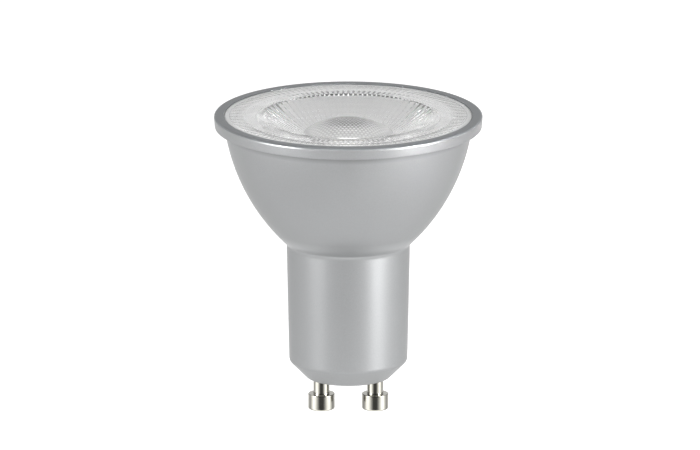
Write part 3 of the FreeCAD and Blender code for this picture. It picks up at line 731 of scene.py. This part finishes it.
def lens_point(kind, r, z, angle):
    """Where the lens's fine relief moves an outline point at an angle round the axis"""
    turns = angle / (2 * math.pi)
    if kind == "groove":
        return r, z + GROOVE_DEPTH * max(0.0, 2 * zigzag(turns * GROOVES) - 1)
    if kind == "ripple":
        return r, z + RIPPLE_DEPTH * zigzag(turns * GROOVES)
    if kind == "flute":
        height = (z - Z_FLARE) / (Z_LEDGE - Z_FLARE)
        depth = FLUTE_DEPTH * smooth(height, FLUTE_START, FLUTE_FULL)
        across = zigzag(turns * FLUTES)
        along = zigzag((Z_LEDGE - z) / FLUTE_ROW)
        return r - depth * (FLUTE_SHARE * across + (1 - FLUTE_SHARE) * along), z
    if kind == "dome":
        fade = min(1.0, (R_BEADS - r) / BEAD_FADE)
        return r, z + fade * bead_height(r * math.cos(angle), r * math.sin(angle))
    return r, z


def make_lens():
    """Clear lens: beaded dome, smooth funnel, flat ring with grooves below it, and fluted cone"""
    section = [(kind, point) for kind, points in lens_section() for point in points]
    outline = [point for _, point in section]

    def shape(index, r, z, angle):
        return lens_point(section[index][0], r, z, angle)

    return lathe("lens_body", outline, LENS_SEGMENTS, smooth_angle=LENS_SMOOTH_ANGLE, shape=shape)


def place(piece, node, slot, material):
    """The piece stands in for a node of the frame"""
    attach(piece, "root")
    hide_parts(node)
    piece.data.materials.append(material)


silver = silver_plastic()
plate = nickel()
acrylic = clear_lens()
place(make_housing(), "housing", "silver_housing", silver)
place(make_pin("pin_turned_left", -PIN_X), "contact_pin_left", "nickel_pin", plate)
place(make_pin("pin_turned_right", PIN_X), "contact_pin_right", "nickel_pin", plate)
place(make_lens(), "lens", "clear_lens", acrylic)

# Node, material, darker tone, lighter tone, roughness, then metallic and grain where they differ
FINISHES = [
    ("heat_sink_cup", "white_coated_aluminium",
     (0.95, 0.95, 0.95), (0.97, 0.97, 0.97), 0.4, 0.0, 400.0),
    ("thermal_pad", "soft_pad", (0.30, 0.31, 0.33), (0.36, 0.37, 0.39), 0.7),
    ("led_board", "white_mask", (0.90, 0.90, 0.89), (0.93, 0.93, 0.92), 0.35),
    ("emitter_dam", "white_silicone", (0.80, 0.80, 0.78), (0.86, 0.86, 0.84), 0.5),
    ("emitter_phosphor", "phosphor", (0.82, 0.70, 0.28), (0.86, 0.76, 0.34), 0.4),
    ("board_screws", "zinc_steel", (0.52, 0.52, 0.53), (0.64, 0.64, 0.65), 0.3, 1.0),
    ("driver_board", "green_mask", (0.008, 0.07, 0.02), (0.014, 0.10, 0.03), 0.35),
    ("fuse_resistor", "fuse_lacquer", (0.10, 0.22, 0.16), (0.14, 0.28, 0.20), 0.4),
    ("surge_varistor", "blue_dip", (0.01, 0.07, 0.30), (0.02, 0.10, 0.38), 0.35),
    ("film_capacitor", "film_case", (0.52, 0.30, 0.02), (0.60, 0.36, 0.03), 0.45),
    ("bulk_capacitor", "can_sleeve", (0.007, 0.007, 0.010), (0.015, 0.015, 0.02), 0.3),
    ("inductor_core", "ferrite", (0.014, 0.014, 0.016), (0.03, 0.03, 0.034), 0.6),
    ("inductor_winding", "copper_wire", (0.45, 0.14, 0.04), (0.56, 0.20, 0.07), 0.3, 0.9),
    ("driver_chip", "black_epoxy", (0.006, 0.006, 0.007), (0.012, 0.012, 0.013), 0.5),
    ("bridge_rectifier", "black_epoxy_rough", (0.006, 0.006, 0.007), (0.013, 0.013, 0.014), 0.55),
    ("output_diode", "black_epoxy_fine", (0.005, 0.005, 0.006), (0.011, 0.011, 0.012), 0.5),
    ("chip_resistors", "resistor_glaze", (0.012, 0.012, 0.016), (0.03, 0.03, 0.035), 0.3),
    ("chip_capacitors", "sintered_tan", (0.28, 0.16, 0.08), (0.36, 0.22, 0.12), 0.5),
    ("lead_wire_left", "white_sleeve", (0.72, 0.72, 0.70), (0.80, 0.80, 0.78), 0.45),
    ("lead_wire_right", "white_sleeve_right", (0.72, 0.72, 0.70), (0.80, 0.80, 0.78), 0.45),
    ("feed_wire_negative", "grey_sleeve", (0.60, 0.60, 0.60), (0.68, 0.68, 0.68), 0.4),
    ("feed_wire_positive", "white_sleeve_feed", (0.80, 0.80, 0.79), (0.86, 0.86, 0.85), 0.4),
]
for node, name, *look in FINISHES:
    obj = bpy.data.objects[node]
    obj.data.materials.clear()
    obj.data.materials.append(mottled(name, *look))


# Floor, light and camera

# Floor: half its side, its grey, and its glow near the bulb and farther off
FLOOR_HALF = 6000.0
FLOOR_GREY = 0.5
GLOW_NEAR = 1.0
GLOW_FAR = 0.60
POOL_RADII = (20.0, 80.0)

# Brighter spots beside the bulb as radii and middle, and the floor behind it as distances
RIGHT_SPOT = (50.0, 130.0, (110.0, -35.0))
LEFT_SPOT = (40.0, 140.0, (-110.0, -10.0))
LEFT_SPOT_LEVEL = 0.42
BEHIND = (0.0, 100.0)
BEHIND_LEVEL = 0.58

# World: the light that it gives, and the white that is seen
WORLD_LIGHT = 0.45
WORLD_SEEN = 1.0


def make_floor():
    """Plain pale floor whose glow, never over 1, is only seen and lights nothing

    The silver paint mirrors it, so its spots give the bowl its tones.
    """
    h = FLOOR_HALF
    corners = [(-h, -h, 0), (h, -h, 0), (h, h, 0), (-h, h, 0)]
    floor = new_object("floor_plain", corners, [(0, 1, 2, 3)])
    material = bpy.data.materials.new("floor_white")
    material.use_nodes = True
    tree = material.node_tree
    tree.nodes.clear()
    diffuse = tree.nodes.new("ShaderNodeBsdfDiffuse")
    diffuse.inputs["Color"].default_value = (FLOOR_GREY, FLOOR_GREY, FLOOR_GREY, 1)

    coords = object_coords(tree)
    pool = radius_band(tree, coords, *POOL_RADII)
    right = radius_band(tree, coords, *RIGHT_SPOT)
    left = spread(tree, radius_band(tree, coords, *LEFT_SPOT), LEFT_SPOT_LEVEL, 1.0)
    back_start, back_end = (distance * MM for distance in BEHIND)
    depth = component(tree, coords, "Y")
    behind = map_range(tree, depth, back_start, back_end, 1.0, BEHIND_LEVEL)
    sides = product(tree, product(tree, right, left), behind)
    level = spread(tree, product(tree, pool, sides), GLOW_NEAR, GLOW_FAR)

    glow = tree.nodes.new("ShaderNodeEmission")
    glow.inputs["Color"].default_value = (1, 1, 1, 1)
    tree.links.new(product(tree, seen_directly(tree), level), glow.inputs["Strength"])
    both = tree.nodes.new("ShaderNodeAddShader")
    tree.links.new(diffuse.outputs[0], both.inputs[0])
    tree.links.new(glow.outputs[0], both.inputs[1])
    out = tree.nodes.new("ShaderNodeOutputMaterial")
    tree.links.new(both.outputs[0], out.inputs["Surface"])
    floor.data.materials.append(material)


def make_world():
    """Even soft light, seen as white"""
    world = bpy.data.worlds.new("studio")
    bpy.context.scene.world = world
    world.use_nodes = True
    tree = world.node_tree
    tree.nodes.clear()
    sides = []
    for strength in (WORLD_LIGHT, WORLD_SEEN):
        side = tree.nodes.new("ShaderNodeBackground")
        side.inputs["Color"].default_value = (1, 1, 1, 1)
        side.inputs["Strength"].default_value = strength
        sides.append(side.outputs[0])
    out = tree.nodes.new("ShaderNodeOutputWorld")
    tree.links.new(mix_shaders(tree, seen_directly(tree), *sides), out.inputs["Surface"])


# Lamps in metres, watts and degrees: name, azimuth (0 is the camera's side, positive to the
# right), elevation, distance, width, height, power, spread and the height that it points at
LAMPS = [
    ("strip_right", 54.0, 0.5, 0.45, 0.15, 0.056, 0.05, 40.0, 0.03),
    ("strip_left", -53.0, 0.5, 0.45, 0.14, 0.056, 0.012, 40.0, 0.03),
    ("rim_strip_right", 60.0, 2.0, 0.45, 0.24, 0.03, 0.032, 7.0, 0.064),
    ("rim_strip_left", -53.0, 2.0, 0.45, 0.22, 0.03, 0.013, 7.0, 0.064),
    ("softbox_right", 62.0, 8.0, 0.60, 0.24, 0.36, 3.6, 180.0, 0.03),
    ("softbox_left", -62.0, 8.0, 0.60, 0.24, 0.36, 2.55, 180.0, 0.03),
    ("softbox_front", 0.0, 58.0, 1.0, 0.6, 0.4, 2.6, 180.0, 0.03),
]

# Camera, fitted to the photograph: distance and aim in metres, elevation in degrees,
# picture width in pixels, and pixels for each millimetre at the distance
CAMERA_DISTANCE = 4.0
CAMERA_ELEVATION = 14.98
CAMERA_AIM = (0.000316, 0.0, 0.03534)
PICTURE_WIDTH = 700
PIXELS_PER_MM = 5.377
SENSOR_WIDTH = 36.0


def look_at(obj, target, azimuth, elevation, distance):
    """Put a lamp or camera round a target and turn it there"""
    a, e = math.radians(azimuth), math.radians(elevation)
    way = Vector((math.sin(a) * math.cos(e), -math.cos(a) * math.cos(e), math.sin(e)))
    obj.location = Vector(target) + way * distance
    obj.rotation_euler = way.to_track_quat("Z", "Y").to_euler()


def make_lamp(name, azimuth, elevation, distance, width, height, power, spread_angle, aim_height):
    """Rectangular lamp"""
    data = bpy.data.lights.new(name, "AREA")
    data.shape = "RECTANGLE"
    data.size = width
    data.size_y = height
    data.energy = power
    data.spread = math.radians(spread_angle)
    lamp = bpy.data.objects.new(name, data)
    bpy.context.scene.collection.objects.link(lamp)
    look_at(lamp, (0.0, 0.0, aim_height), azimuth, elevation, distance)


def make_camera():
    """Long lens, 15 degrees above the bulb"""
    data = bpy.data.cameras.new("photo_camera")
    data.sensor_width = SENSOR_WIDTH
    data.lens = PIXELS_PER_MM * (CAMERA_DISTANCE / MM) / PICTURE_WIDTH * SENSOR_WIDTH
    data.clip_start = 0.1
    data.clip_end = 100.0
    camera = bpy.data.objects.new("photo_camera", data)
    bpy.context.scene.collection.objects.link(camera)
    look_at(camera, CAMERA_AIM, 0.0, CAMERA_ELEVATION, CAMERA_DISTANCE)
    bpy.context.scene.camera = camera


make_floor()
make_world()
for lamp in LAMPS:
    make_lamp(*lamp)
make_camera()
bpy.context.scene.view_settings.view_transform = "Standard"
